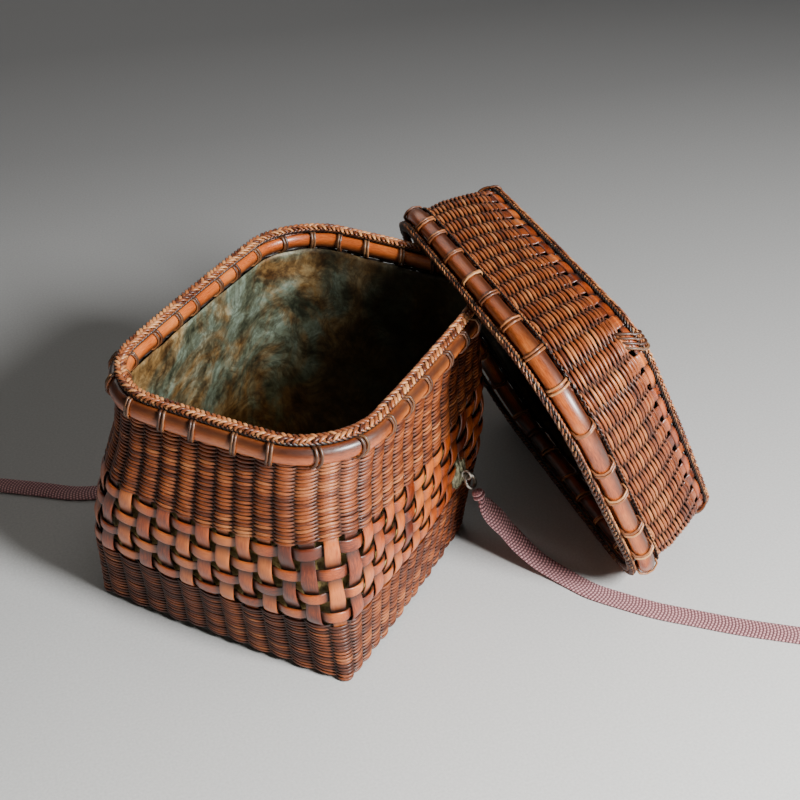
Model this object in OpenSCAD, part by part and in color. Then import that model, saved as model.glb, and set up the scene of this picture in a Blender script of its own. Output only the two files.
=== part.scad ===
// Woven tea basket with a lining, a loose lid leaning on its rim and two tie ribbons.
// Millimetres, +Z up. The origin is under the middle of the basket, on the surface it stands on.

/* [Basket] */
// Width across the mouth, at the middle of the braid
rim_w = 105; // [95:1:120]
// Depth across the mouth, at the middle of the braid
rim_d = 142; // [130:1:160]
// Height of the top of the rim braid
rim_h = 120; // [110:1:130]
// How far the middle of the mouth stands toward +X
lean_x = 6; // [0:1:8]
// How far the middle of the mouth stands toward +Y
lean_y = 8; // [0:1:10]
// Width of the base
base_w = 121; // [110:1:122]
// Depth of the base
base_d = 111; // [100:1:118]
// Widest width, at the belly
belly_w = 120; // [117:1:126]
// Outward bow of each side between its corners
bow = 2; // [0:0.5:3]
// Number of upright stakes
stake_count = 56; // [40:4:64]
// Number of lashings round the rim
lashing_count = 22; // [16:2:28]

/* [Lid] */
// Width of the lid wall at its mouth
lid_w = 131; // [131:1:134]
// Depth of the lid wall at its mouth
lid_d = 166; // [160:1:172]
// Width of the border on the lid top
lid_top_w = 110; // [100:1:114]
// Depth of the border on the lid top
lid_top_d = 138; // [130:1:144]
// Height from the lid mouth to its top panel
lid_h = 43; // [38:1:48]
// Number of stakes in the lid wall
lid_stake_count = 56; // [40:4:64]
// Number of lashings round the lid mouth
lid_lashing_count = 26; // [18:2:30]
// Turn of the leaning lid about the upright
lid_yaw = 47.6; // [40:0.1:55]
// Tilt of the leaning lid, 0 being level
lid_tilt = 65; // [65:0.1:67]
// X of the middle of the leaning lid's mouth
lid_x = 69; // [69:0.1:75]
// Y of the middle of the leaning lid's mouth
lid_y = 71.5; // [71.5:0.1:78]

/* [Ribbons] */
// Width of the flat braid
ribbon_w = 10; // [7:0.5:11]
// Thickness of the flat braid
ribbon_t = 1.2; // [1:0.1:1.6]
// Y of both ring fittings
fitting_y = 33; // [28:1:40]
// Height of both ring fittings
fitting_z = 44; // [40:1:50]
// Angle of a resting ring outward from straight down
ring_rest = 35; // [20:1:45]

/* [Hidden] */
weave_t = 2;          // thickness of a woven wall
stake_t = 0.7;        // thickness of a stake
stake_w = 3.8;        // width of a stake
liner_t = 0.6;        // thickness of the lining
layer_gap = 0.25;     // space between the layers of a wall
seam_gap = 0.1;       // space between one stretch of a wall and the next
lining_gap = 0.9;     // space between the stakes and the lining, which hangs free of them at the corners
hoop_t = 3.5;         // how far a split hoop stands off its wall
hoop_h = 7.4;         // height of a split hoop
lashing_w = 3;        // width of a pair of lashing strands
arc_steps = 5;        // steps round a corner of an outline
side_steps = 3;       // steps along a side of an outline
base_z = 2.4;         // underside of the walls, over the corner feet
floor_z = 5;          // underside of the lining's floor
mat_inset = 11;       // from the wall to the part of the base mat that meets the surface
hoop_z = rim_h - 11;  // underside of the rim's outer hoop
braid_z = rim_h - 1.8;
base_mid = [-3.5, -4];  // middle of the base's outline, which is not quite square under the rim
liner_top = hoop_z + 0.8;
lash_proud = 0.5;       // how far a lashing stands off a hoop

// Layers of the wall, as offsets from its outer face
stake_out = -weave_t - layer_gap;
liner_out = stake_out - stake_t - lining_gap;
liner_in = liner_out - liner_t;

// Outer face of the basket wall: height, width, depth and corner radius
WALL = [
    [base_z, base_w, base_d, 4.5],
    [16, (base_w + 2 * belly_w) / 3, base_d + 8, 7],
    [36, belly_w, base_d + 21, 11],
    [54, belly_w - 1, rim_d - 1, 17],
    [74, rim_w + 9, rim_d + 3, 22],
    [92, rim_w + 3, rim_d + 2, 26],
    [rim_h - 4, rim_w + 2, rim_d + 2, 28],
];
lower_top = 33;
plait_top = 73;

// Outer face of the lid wall, in the lid's own frame
LID_WALL = [
    [2.5, lid_w, lid_d, 36],
    [10, lid_w, lid_d, 35],
    [20, lid_w - 2, lid_d - 3, 32],
    [30, lid_w - 8, lid_d - 11, 27],
    [37, lid_w - 14, lid_d - 20, 20],
    [lid_h - 1, lid_top_w + 1, lid_top_d + 1, 15],
];
lid_hoop_z = 3;
lid_shoulder_z = 36;

// Height of the lid's mouth, so that its hoop stands on z = 0
lid_hoop_low = (lid_w / 2 + hoop_t + 2 * lash_proud + bow) * sin(lid_tilt) - (lid_hoop_z + hoop_h * 0.3) * cos(lid_tilt);
lid_z = lid_hoop_low + 0.02;

// Ring fitting: the eye stands out from the plaque and holds the ring
wall_x = side_x(fitting_z, fitting_y);
plaque_t = 1.8;
plaque_r = 8.6;       // half the plaque's height
plaque_share = 0.72;  // its width over its height
eye_out = 3.8;        // from the wall to the middle of the eye
eye_r = 2;            // middle radius of the eye
eye_wire = 0.7;
ring_r = 3.2;         // middle radius of the ring
ring_wire = 0.75;
knot_r = 2.6;
knot_drop = ring_r + ring_wire + knot_r + 0.05;  // from the ring's middle to the knot's

// Routes of the two ribbons, along their middle line, from the knot to the free end
RIGHT_ROUTE = [
    [71.9, 33.6, 32.6], [73.5, 34, 29.8], [76.5, 35, 25.5], [81, 36, 20.5], [86, 37.5, 14], [92, 38, 8.5],
    [99, 38, 4.2], [107, 37.5, 1.8], [115, 36, 1], [125, 34, 0.8], [138, 34, 0.8], [154, 35, 0.8],
    [171, 38, 0.8], [187, 41, 0.8], [203, 45, 0.8], [218, 49, 0.8], [234, 53, 0.8],
    [250, 54, 0.8], [266, 51, 0.8], [280, 43, 0.8], [289, 30, 0.8], [292, 15, 0.8],
    [288, 0, 0.8], [278, -12, 0.8], [264, -19, 0.8], [251, -21, 0.8], [239, -19, 0.8],
];
LEFT_ROUTE = [
    [-71.8, 32.4, 32.5], [-72.8, 31.4, 29.6], [-74.5, 29, 25.5], [-77, 25, 20], [-81, 19.5, 13.5],
    [-86, 12.5, 8], [-92, 5.5, 3.8], [-99, -1, 1.6], [-107, -7, 1], [-117, -12, 0.8],
    [-131, -16, 0.8], [-150, -22, 0.8], [-166, -28, 0.8], [-180, -37, 0.8], [-190, -50, 0.8],
    [-194, -66, 0.8], [-192, -83, 0.8], [-184, -98, 0.8], [-170, -107, 0.8], [-154, -110, 0.8],
    [-138, -106, 0.8], [-126, -96, 0.8], [-121, -82, 0.8], [-124, -67, 0.8],
];
end_knot_r = 3.6;

// One column of a wall table at height z
function col(table, z, k) = lookup(z, [for (row = table) [row[0], row[k]]]);

// Where the middle of the basket's outline lies at height z
function lean(z) = base_mid + ([lean_x, lean_y] - base_mid) * z / rim_h;

// Rounded rectangle with bowed sides, as points at height z about the point c
function outline(w, d, r, z, c = [0, 0]) = [
    for (q = [0:3])
        let (
            sx = (q == 0 || q == 3) ? 1 : -1,
            sy = q < 2 ? 1 : -1,
            nx = (q == 0 || q == 1) ? -sx : sx,
            corner = [for (k = [0:arc_steps])
                [sx * (w / 2 - r), sy * (d / 2 - r)]
                + r * [cos(90 * (q + k / arc_steps)), sin(90 * (q + k / arc_steps))]],
            next = (q % 2 == 0)
                ? [-sx * (w / 2 - r), sy * d / 2]
                : [sx * w / 2, -sy * (d / 2 - r)],
            last = corner[arc_steps],
            side = [for (k = [1:side_steps]) last + (next - last) * k / (side_steps + 1)]
        )
        for (p = concat(corner, side))
            let (
                bx = bow * p[0] / (w / 2) * (1 - pow(p[1] / (d / 2), 2)),
                by = bow * p[1] / (d / 2) * (1 - pow(p[0] / (w / 2), 2))
            )
            [p[0] + bx + c[0], p[1] + by + c[1], z]
];

// Outline of the basket wall at height z, moved out by o, and the same for the lid
function wall_loop(z, o) =
    outline(col(WALL, z, 1) + 2 * o, col(WALL, z, 2) + 2 * o, max(col(WALL, z, 3) + o, 2), z, lean(z));
function lid_loop(z, o) =
    outline(col(LID_WALL, z, 1) + 2 * o, col(LID_WALL, z, 2) + 2 * o, max(col(LID_WALL, z, 3) + o, 2), z);

// X of the basket's +X wall at height z and depth y
function side_x(z, y) =
    let (w = col(WALL, z, 1), d = col(WALL, z, 2))
    lean(z)[0] + w / 2 + bow * (1 - pow((y - lean(z)[1]) / (d / 2), 2));

// Angle by which the wall behind a fitting leans out going up
function wall_lean(side) =
    let (
        run = plaque_r,
        high = side * lean(fitting_z + run)[0] + col(WALL, fitting_z + run, 1) / 2,
        low = side * lean(fitting_z - run)[0] + col(WALL, fitting_z - run, 1) / 2
    )
    atan((high - low) / (2 * run));

// Heights of a table between two levels
function levels(table, low, high) =
    concat([low], [for (row = table) if (row[0] > low + 1 && row[0] < high - 1) row[0]], [high]);
function backward(list) = [for (i = [len(list) - 1:-1:0]) list[i]];

// Solid through a list of loops: a closed ring of them, or capped at both ends
module loft(loops, ring = true) {
    n = len(loops[0]);
    m = len(loops);
    sides = [
        for (j = [0:(ring ? m - 1 : m - 2)], i = [0:n - 1], half = [0, 1])
            let (a = j * n + i, b = j * n + (i + 1) % n, e = (j + 1) % m * n)
            half == 0 ? [a, e + i, b] : [b, e + i, e + (i + 1) % n]
    ];
    caps = ring ? [] : [[for (i = [0:n - 1]) i], [for (i = [n - 1:-1:0]) (m - 1) * n + i]];
    polyhedron(points = [for (l = loops) each l], faces = concat(sides, caps));
}

// Wall between two levels and two offsets of the basket's or the lid's outer face
module wall_shell(low, high, out, in) {
    z = levels(WALL, low, high);
    loft(concat([for (h = z) wall_loop(h, out)], [for (h = backward(z)) wall_loop(h, in)]));
}
module lid_shell(low, high, out, in) {
    z = levels(LID_WALL, low, high);
    loft(concat([for (h = z) lid_loop(h, out)], [for (h = backward(z)) lid_loop(h, in)]));
}

// Split-cane hoop: a flat back at offset o and a rounded face, standing out by t
function hoop_section(o, z, t, h) =
    [[o, z], [o + t * 0.62, z + h * 0.08], [o + t, z + h * 0.34],
     [o + t, z + h * 0.66], [o + t * 0.62, z + h * 0.92], [o, z + h]];

// Round bead about the middle o, z
function bead_section(o, z, a, b) =
    [for (k = [0:7]) [o + a * cos(45 * k), z + b * sin(45 * k)]];

module body_ring(section) {
    loft([for (s = section) wall_loop(s[1], s[0])]);
}
module lid_ring(section) {
    loft([for (s = section) lid_loop(s[1], s[0])]);
}

// Faces of a bar through cross-sections of k points
function bar_faces(m, k, base) = concat(
    [[for (i = [0:k - 1]) base + i]],
    [[for (i = [k - 1:-1:0]) base + (m - 1) * k + i]],
    [for (j = [0:m - 2], i = [0:k - 1])
        [base + j * k + i, base + (j + 1) * k + i, base + (j + 1) * k + (i + 1) % k,
         base + j * k + (i + 1) % k]]
);
// The same faces cut into triangles
function cut(faces) = [for (f = faces, i = [1:len(f) - 2]) [f[0], f[i], f[i + 1]]];

function loop_length(loop) =
    let (n = len(loop), steps = [for (i = [0:n - 1]) norm(loop[(i + 1) % n] - loop[i])])
    steps * [for (i = [0:n - 1]) 1];

// Point of a loop at a share t of its length, with the direction along the loop
function along(loop, t) =
    let (
        n = len(loop),
        steps = [for (i = [0:n - 1]) norm(loop[(i + 1) % n] - loop[i])],
        sums = [for (i = 0, s = 0; i <= n; s = s + (i < n ? steps[i] : 0), i = i + 1) s],
        want = (t - floor(t)) * sums[n],
        i = max([for (k = [0:n - 1]) if (sums[k] <= want) k]),
        f = (want - sums[i]) / steps[i],
        dir = (loop[(i + 1) % n] - loop[i]) / steps[i]
    )
    [loop[i] + dir * f * steps[i], dir];

// Point of a loop at a share t of its length, moved out level by o
function along_out(loop, t, o) = let (a = along(loop, t)) a[0] + o * [a[1][1], -a[1][0], 0];

// Upright strips, a little domed, from loops at the same levels on their outer and inner faces
module strips(outer, inner, count, width) {
    m = len(outer);
    dome = 0.08;
    points = [
        for (s = [0:count - 1], j = [0:m - 1])
            let (t = s / count, half = width / 2 / loop_length(outer[j]))
            each [
                along_out(outer[j], t, dome), along_out(outer[j], t + half, 0),
                along_out(inner[j], t + half, 0), along_out(inner[j], t, dome / 2),
                along_out(inner[j], t - half, 0), along_out(outer[j], t - half, 0),
            ]
    ];
    polyhedron(points = points,
        faces = cut([for (s = [0:count - 1]) each bar_faces(m, 6, s * m * 6)]));
}

// C-shaped bands over a hoop, every one across the path of a section of [offset, height]
module bands(section_loops, inner_loops, count, width) {
    m = len(section_loops);
    points = [
        for (s = [0:count - 1], j = [0:m - 1])
            let (
                a = along(section_loops[j], (s + 0.5) / count),
                b = along(inner_loops[j], (s + 0.5) / count),
                side = a[1] * width / 2
            )
            each [a[0] - side, a[0] + side, b[0] + side, b[0] - side]
    ];
    polyhedron(points = points,
        faces = cut([for (s = [0:count - 1]) each bar_faces(m, 4, s * m * 4)]));
}

// Flat cord along a route: an eight-sided section, wide across the route and level
module flat_cord(route, width, thick) {
    n = len(route);
    points = [
        for (i = [0:n - 1])
            let (
                t = route[min(i + 1, n - 1)] - route[max(i - 1, 0)],
                side = cross([0, 0, 1], t) / norm(cross([0, 0, 1], t)),
                up = cross(t, side) / norm(t)
            )
            for (k = [0:7])
                route[i] + side * cos(45 * k + 22.5) * width / 2 / cos(22.5)
                + up * sin(45 * k + 22.5) * thick / 2 / sin(67.5)
    ];
    polyhedron(points = points, faces = cut(bar_faces(n, 8, 0)));
}

// Places what is drawn in the lid's own frame where the lid leans
module leaning() {
    translate([lid_x, lid_y, lid_z]) rotate([0, lid_tilt, lid_yaw]) children();
}

// Places what is drawn about the eye of the right fitting, +X pointing out of the wall
module at_fitting(side) {
    eye_x = side > 0 ? wall_x + eye_out : 2 * lean(fitting_z)[0] - wall_x - eye_out;
    translate([eye_x, fitting_y, fitting_z]) rotate([0, 0, side > 0 ? 0 : 180]) children();
}

module liner() {
    z = levels(WALL, floor_z, liner_top);
    inner_z = levels(WALL, floor_z + liner_t, liner_top);
    color("#5d7064")
    loft(concat(
        [for (h = z) wall_loop(h, liner_out)],
        [for (h = backward(inner_z)) wall_loop(h, liner_in)]
    ), ring = false);
}

module base_panel() {
    color("#6b4a34")
    loft([
        wall_loop(0, -mat_inset), wall_loop(base_z, -mat_inset),
        wall_loop(base_z, liner_out), wall_loop(floor_z - seam_gap, liner_out),
    ], ring = false);
}

module corner_feet() {
    inset = 7;
    color("#7a4426")
    for (sx = [-1, 1], sy = [-1, 1])
        translate([base_mid[0] + sx * (base_w / 2 - inset), base_mid[1] + sy * (base_d / 2 - inset), 0])
            cylinder(h = base_z - 0.05, r = 4.5, $fn = 32);
}

module body_stakes() {
    z = levels(WALL, base_z + 0.2, hoop_z - 0.4);
    color("#8a4d2a")
    strips(
        [for (h = z) wall_loop(h, stake_out)],
        [for (h = z) wall_loop(h, stake_out - stake_t)],
        stake_count, stake_w
    );
}

module lower_weave() { color("#7b4a2c") wall_shell(base_z, lower_top, 0, -weave_t); }

module plaited_band() { color("#a4622f") wall_shell(lower_top + seam_gap, plait_top, 0, -weave_t); }

module upper_weave() { color("#6e4630") wall_shell(plait_top + seam_gap, rim_h - 4, 0, -weave_t); }

module rim_outer_hoop() {
    color("#b0602f") body_ring(hoop_section(seam_gap, hoop_z, hoop_t, hoop_h));
}

module rim_inner_hoop() {
    inner = -weave_t - seam_gap;
    color("#b0602f")
    body_ring(backward([for (s = hoop_section(-inner, hoop_z + 1, hoop_t - 1, hoop_h - 1)) [-s[0], s[1]]]));
}

module rim_braid() { color("#8f4b27") body_ring(bead_section(-weave_t / 2, braid_z, 2.6, 1.8)); }

module rim_lashings() {
    path = [[0.4, hoop_z - 0.9], [2.8, hoop_z - 0.2], [hoop_t + lash_proud, hoop_z + hoop_h * 0.3],
            [hoop_t + lash_proud, hoop_z + hoop_h * 0.7], [2.8, hoop_z + hoop_h + 0.1]];
    color("#9a5a30")
    bands(
        [for (p = path) wall_loop(p[1], p[0] + 0.5)],
        [for (p = path) wall_loop(p[1], p[0] - 0.3)],
        lashing_count, lashing_w
    );
}

module plaque(side) {
    color("#5c5138")
    at_fitting(side)
        translate([-eye_out + 0.3, 0, 0])
            rotate([0, 90 + wall_lean(side), 0])
                difference() {
                    union() {
                        scale([1, plaque_share, 1]) cylinder(h = plaque_t - 0.6, r = plaque_r, $fn = 64);
                        scale([1, plaque_share, 1]) cylinder(h = plaque_t, r = plaque_r - 2.4, $fn = 64);
                    }
                    translate([0, 0, -1]) cylinder(h = plaque_t + 2, r = 1.3, $fn = 32);
                    translate([0, 0, 0.6]) cylinder(h = plaque_t, r = 2.7, $fn = 48);
                }
}
module plaque_right() { plaque(1); }
module plaque_left() { plaque(-1); }

// A wire loop on a shank that is driven through the weave
module eye(side) {
    shank = eye_out - eye_r + weave_t;
    color("#8c8672")
    at_fitting(side) {
        rotate([90, 0, 0])
            rotate_extrude($fn = 48) translate([eye_r, 0]) circle(r = eye_wire, $fn = 24);
        translate([-eye_r - shank, 0, 0]) rotate([0, 90, 0])
            cylinder(h = shank, r = 0.9, $fn = 32);
    }
}
module eye_right() { eye(1); }
module eye_left() { eye(-1); }

// The ring hangs in the eye from the middle of its wire, tipped outward by ring_rest
module in_ring(side) {
    at_fitting(side) rotate([0, -ring_rest, 0]) translate([0, 0, -ring_r]) children();
}
module ring(side) {
    color("#a9a696")
    in_ring(side)
        rotate([0, 90, 0])
            rotate_extrude($fn = 48) translate([ring_r, 0]) circle(r = ring_wire, $fn = 24);
}
module ring_right() { ring(1); }
module ring_left() { ring(-1); }

module knot(side) {
    color("#6d4751")
    in_ring(side) translate([0, 0, -knot_drop]) sphere(r = knot_r, $fn = 32);
}
module knot_right() { knot(1); }
module knot_left() { knot(-1); }

module ribbon_right() { color("#7c5560") flat_cord(RIGHT_ROUTE, ribbon_w, ribbon_t); }
module ribbon_left() { color("#7c5560") flat_cord(LEFT_ROUTE, ribbon_w, ribbon_t); }

module end_knot(route) {
    tip = route[len(route) - 1];
    before = route[len(route) - 2];
    dir = (tip - before) / norm(tip - before);
    color("#6d4751")
    translate([tip[0] + dir[0] * end_knot_r, tip[1] + dir[1] * end_knot_r, end_knot_r * 0.7])
        scale([1, 1, 0.7]) sphere(r = end_knot_r, $fn = 32);
}
module end_knot_right() { end_knot(RIGHT_ROUTE); }
module end_knot_left() { end_knot(LEFT_ROUTE); }

module lid_wall_weave() { color("#6f4730") leaning() lid_shell(2.5, lid_shoulder_z, 0, -weave_t); }

module lid_stakes() {
    z = levels(LID_WALL, 3, lid_shoulder_z);
    color("#8a4d2a")
    leaning()
        strips(
            [for (h = z) lid_loop(h, stake_out)],
            [for (h = z) lid_loop(h, stake_out - stake_t)],
            lid_stake_count, stake_w
        );
}

module lid_outer_hoop() {
    color("#b0602f") leaning() lid_ring(hoop_section(seam_gap, lid_hoop_z, hoop_t, hoop_h));
}

module lid_inner_hoop() {
    inner = weave_t + stake_t + 2 * layer_gap;
    color("#b0602f")
    leaning()
        lid_ring(backward([for (s = hoop_section(inner, 2.6, 1.6, hoop_h - 1.8)) [-s[0], s[1]]]));
}

module lid_mouth_braid() { color("#8f4b27") leaning() lid_ring(bead_section(-weave_t / 2, 0.6, 2.8, 1.8)); }

module lid_lashings() {
    path = [[2.8, lid_hoop_z - 0.2], [hoop_t + lash_proud, lid_hoop_z + hoop_h * 0.3],
            [hoop_t + lash_proud, lid_hoop_z + hoop_h * 0.7], [2.8, lid_hoop_z + hoop_h + 0.1],
            [0.4, lid_hoop_z + hoop_h + 0.9]];
    color("#9a5a30")
    leaning()
        bands(
            [for (p = path) lid_loop(p[1], p[0] + 0.5)],
            [for (p = path) lid_loop(p[1], p[0] - 0.3)],
            lid_lashing_count, lashing_w
        );
}

module lid_edge_strand() {
    color("#7a4d30") leaning() lid_ring(bead_section(0.8, lid_hoop_z + hoop_h + 2, 0.7, 0.7));
}

module lid_shoulder_strips() {
    color("#a4622f") leaning() lid_shell(lid_shoulder_z + seam_gap, lid_h - 1.4, 0.3, -weave_t + 0.4);
}

module lid_top_border() { color("#8f4b27") leaning() lid_ring(bead_section(-1.4, lid_h + 0.7, 2.2, 1.9)); }

module lid_top_panel() {
    rise = 1.6;
    color("#8f5a33")
    leaning()
        loft([
            lid_loop(lid_h - 2.8, -4.2), lid_loop(lid_h - 1.3, -4.2),
            outline(lid_top_w - 34, lid_top_d - 38, 20, lid_h - 1.3 + rise),
        ], ring = false);
}

module lid_liner() {
    z = levels(LID_WALL, 12.5, lid_h - 5);
    color("#5d7064")
    leaning()
        loft(concat(
            [for (h = backward(z)) lid_loop(h, liner_in)],
            [for (h = z) lid_loop(h, liner_out)]
        ));
}

// A bound tie down the outside of each top corner, over the border and the shoulder
module lid_corner_ties() {
    function corner_at(z, o) =
        let (reach = col(LID_WALL, z, 3) * (1 - cos(45)) - o * cos(45))
        [col(LID_WALL, z, 1) / 2 - reach, col(LID_WALL, z, 2) / 2 - reach, z];
    proud = 2.8;
    low = corner_at(lid_shoulder_z - 1, proud);
    high = corner_at(lid_h - 1, proud) + [0, 0, 2.5];
    dir = high - low;
    color("#9a5a30")
    leaning()
        for (sx = [-1, 1], sy = [-1, 1])
            translate([sx * low[0], sy * low[1], low[2]])
                rotate([0, atan2(norm([dir[0], dir[1]]), dir[2]), atan2(sy * dir[1], sx * dir[0])])
                    cylinder(h = norm(dir), r = 1.1, $fn = 24);
}

liner();
base_panel();
corner_feet();
body_stakes();
lower_weave();
plaited_band();
upper_weave();
rim_outer_hoop();
rim_inner_hoop();
rim_braid();
rim_lashings();
plaque_right();
plaque_left();
eye_right();
eye_left();
ring_right();
ring_left();
knot_right();
knot_left();
ribbon_right();
ribbon_left();
end_knot_right();
end_knot_left();
lid_wall_weave();
lid_stakes();
lid_outer_hoop();
lid_inner_hoop();
lid_mouth_braid();
lid_lashings();
lid_edge_strand();
lid_shoulder_strips();
lid_top_border();
lid_top_panel();
lid_liner();
lid_corner_ties();
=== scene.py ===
"""A lined, woven tea basket with its lid leaning on the rim and a tie ribbon at each end."""
import math

import bpy
import numpy as np
from mathutils import Matrix, Vector


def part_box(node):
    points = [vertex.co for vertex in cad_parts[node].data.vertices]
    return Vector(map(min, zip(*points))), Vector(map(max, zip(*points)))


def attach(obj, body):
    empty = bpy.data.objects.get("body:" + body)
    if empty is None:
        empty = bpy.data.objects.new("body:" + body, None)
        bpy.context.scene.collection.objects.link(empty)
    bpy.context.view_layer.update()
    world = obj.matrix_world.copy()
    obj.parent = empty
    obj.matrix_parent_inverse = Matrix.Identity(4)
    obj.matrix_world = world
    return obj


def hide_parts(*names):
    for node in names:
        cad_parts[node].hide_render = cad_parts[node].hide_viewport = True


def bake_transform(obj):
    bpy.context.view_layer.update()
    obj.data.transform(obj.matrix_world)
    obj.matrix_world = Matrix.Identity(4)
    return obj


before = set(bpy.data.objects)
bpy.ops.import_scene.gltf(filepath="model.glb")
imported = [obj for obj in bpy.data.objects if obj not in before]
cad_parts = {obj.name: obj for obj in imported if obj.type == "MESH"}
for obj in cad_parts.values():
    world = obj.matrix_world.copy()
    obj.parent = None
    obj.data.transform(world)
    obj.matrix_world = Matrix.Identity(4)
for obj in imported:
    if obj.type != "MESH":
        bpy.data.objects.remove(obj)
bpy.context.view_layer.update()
rng = np.random.default_rng(7)

# ---------------------------------------------------------------- sizes, in millimetres
RIM_H = 120
RIM_MID = (6, 8)              # middle of the mouth
BASE_MID = (-3.5, -4)         # middle of the base
HOOP_Z = RIM_H - 11           # underside of the outer hoop
HOOP_T = 3.5                  # how far a hoop stands off its wall
HOOP_H = 7.4
BRAID_Z = RIM_H - 1.8
WALL_ROWS = [                 # height, width, depth and corner radius of the outer face
    (2.4, 121, 111, 4.5), (16, 120.3, 119, 7), (36, 120, 132, 11), (54, 119, 141, 17),
    (74, 114, 145, 22), (92, 108, 144, 26), (116, 107, 144, 28), (125, 107, 144, 28),
]
LOWER_TOP = 32
PLAIT_TOP = 71
STAKES_X = 12                 # stakes on a short side
STAKES_Y = 16                 # stakes on a long side
STAKES = 2 * (STAKES_X + STAKES_Y)
BOW = 2
ROW_PITCH = 0.82              # from one fine row to the next

LID_H = 43
LID_ROWS = [
    (-3, 131, 166, 36), (10, 131, 166, 35), (20, 129, 163, 32), (30, 123, 155, 27),
    (37, 117, 146, 20), (42, 111, 139, 15), (50, 111, 139, 15),
]
LID_TURN = math.radians(47.6)
LID_TILT = math.radians(65)
LID_HOOP_Z = 3
SHOULDER_Z = 37.6

RIBBON_W = 10
RIBBON_T = 1.2
RIBBON_ROW = 1.4              # from one row of the braid to the next
RIBBON_RELIEF = 0.34          # depth of the gaps in the braid
GATHER = 6.5                  # length over which a ribbon narrows into its knot

LINING_OUT = -3.9             # back of a lining from the outer face of its wall
RIM_MID_OUT = -1              # middle of a wall's thickness
BORDER_OUT = -1.4             # middle of the lid's border plait
STITCH = 0.62                 # thickness of the plaits' strands

# Routes of the ribbons' middle lines, from the knot at the ring to the free end
RIGHT_ROUTE = [
    [71.9, 33.6, 32.6], [73.5, 34, 29.8], [76.5, 35, 25.5], [81, 36, 20.5], [86, 37.5, 14],
    [92, 38, 8.5], [99, 38, 4.2], [107, 37.5, 1.8], [115, 36, 1], [125, 34, 0.8],
    [138, 34, 0.8], [154, 35, 0.8], [171, 38, 0.8], [187, 41, 0.8], [203, 45, 0.8],
    [218, 49, 0.8], [234, 53, 0.8], [250, 54, 0.8], [266, 51, 0.8], [280, 43, 0.8],
    [289, 30, 0.8], [292, 15, 0.8], [288, 0, 0.8], [278, -12, 0.8], [264, -19, 0.8],
    [251, -21, 0.8], [239, -19, 0.8],
]
LEFT_ROUTE = [
    [-71.8, 32.4, 32.5], [-72.8, 31.4, 29.6], [-74.5, 29, 25.5], [-77, 25, 20], [-81, 19.5, 13.5],
    [-86, 12.5, 8], [-92, 5.5, 3.8], [-99, -1, 1.6], [-107, -7, 1], [-117, -12, 0.8],
    [-131, -16, 0.8], [-150, -22, 0.8], [-166, -28, 0.8], [-180, -37, 0.8], [-190, -50, 0.8],
    [-194, -66, 0.8], [-192, -83, 0.8], [-184, -98, 0.8], [-170, -107, 0.8], [-154, -110, 0.8],
    [-138, -106, 0.8], [-126, -96, 0.8], [-121, -82, 0.8], [-124, -67, 0.8],
]


# ---------------------------------------------------------------- meshes
def make_mesh(name, points, quads, material, body, cane=None, depth=None, caps=()):
    """A piece from points in millimetres, riding on body unless that is None.

    cane holds (along, across, tone), and depth goes from 0 in a gap to 1 on top."""
    mesh = bpy.data.meshes.new(name)
    points = np.asarray(points, float).reshape(-1, 3) / 1000
    quads = np.asarray(quads, int)
    totals = [quads.shape[1]] * len(quads) + [len(c) for c in caps]
    corners = np.concatenate([quads.ravel()] + [np.asarray(c, int) for c in caps])
    mesh.vertices.add(len(points))
    mesh.vertices.foreach_set("co", points.astype(np.float32).ravel())
    mesh.loops.add(len(corners))
    mesh.loops.foreach_set("vertex_index", corners.astype(np.int32))
    mesh.polygons.add(len(totals))
    starts = np.concatenate([[0], np.cumsum(totals)[:-1]])
    mesh.polygons.foreach_set("loop_start", starts.astype(np.int32))
    mesh.update(calc_edges=True)
    if cane is not None:
        layer = mesh.attributes.new("cane", "FLOAT_VECTOR", "POINT")
        layer.data.foreach_set("vector", np.asarray(cane, np.float32).ravel())
    if depth is not None:
        layer = mesh.attributes.new("depth", "FLOAT", "POINT")
        layer.data.foreach_set("value", np.asarray(depth, np.float32).ravel())
    mesh.shade_smooth()
    mesh.materials.append(material)
    piece = bpy.data.objects.new(name, mesh)
    bpy.context.scene.collection.objects.link(piece)
    if body:
        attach(piece, body)
    return piece


def unit(v):
    return v / np.maximum(np.linalg.norm(v, axis=-1, keepdims=True), 1e-9)


def ellipse(a, b, sides, power=1.0):
    """A closed section: half width a along the strand's side, half thickness b along its normal."""
    t = 2 * np.pi * (np.arange(sides) + 0.5) / sides
    c, s = np.cos(t), np.sin(t)
    return np.stack([a * np.sign(c) * abs(c) ** power, b * np.sign(s) * abs(s) ** power], 1)


def sweep(centres, side, normal, section, closed, scale=None):
    """Strands through centres (strand, step, xyz). Returns points, quads, caps and the section's size."""
    strands, steps = centres.shape[:2]
    k = len(section)
    sec = np.broadcast_to(section, (strands, steps, k, 2)).copy()
    if scale is not None:
        sec = sec * np.asarray(scale)[:, :, None, :]
    points = centres[:, :, None] + side[:, :, None] * sec[..., :1] + normal[:, :, None] * sec[..., 1:]
    index = np.arange(strands * steps * k).reshape(strands, steps, k)
    ahead = np.roll(index, -1, 1) if closed else index[:, 1:]
    here = index if closed else index[:, :-1]
    quads = np.stack([here, np.roll(here, -1, 2), np.roll(ahead, -1, 2), ahead], -1).reshape(-1, 4)
    caps = [] if closed else [i[0, ::-1] for i in index] + [i[-1] for i in index]
    return points.reshape(-1, 3), quads, caps, k


def grid_quads(index):
    """The faces between neighbouring closed rings of a grid of point numbers."""
    quads = np.stack([index[:-1], np.roll(index[:-1], -1, 1), np.roll(index[1:], -1, 1), index[1:]], -1)
    return quads.reshape(-1, 4)


def travelled(centres):
    """How far along its strand each point is."""
    step = np.linalg.norm(np.diff(centres, axis=1), axis=-1)
    return np.concatenate([np.zeros((len(centres), 1)), np.cumsum(step, 1)], 1)


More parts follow.
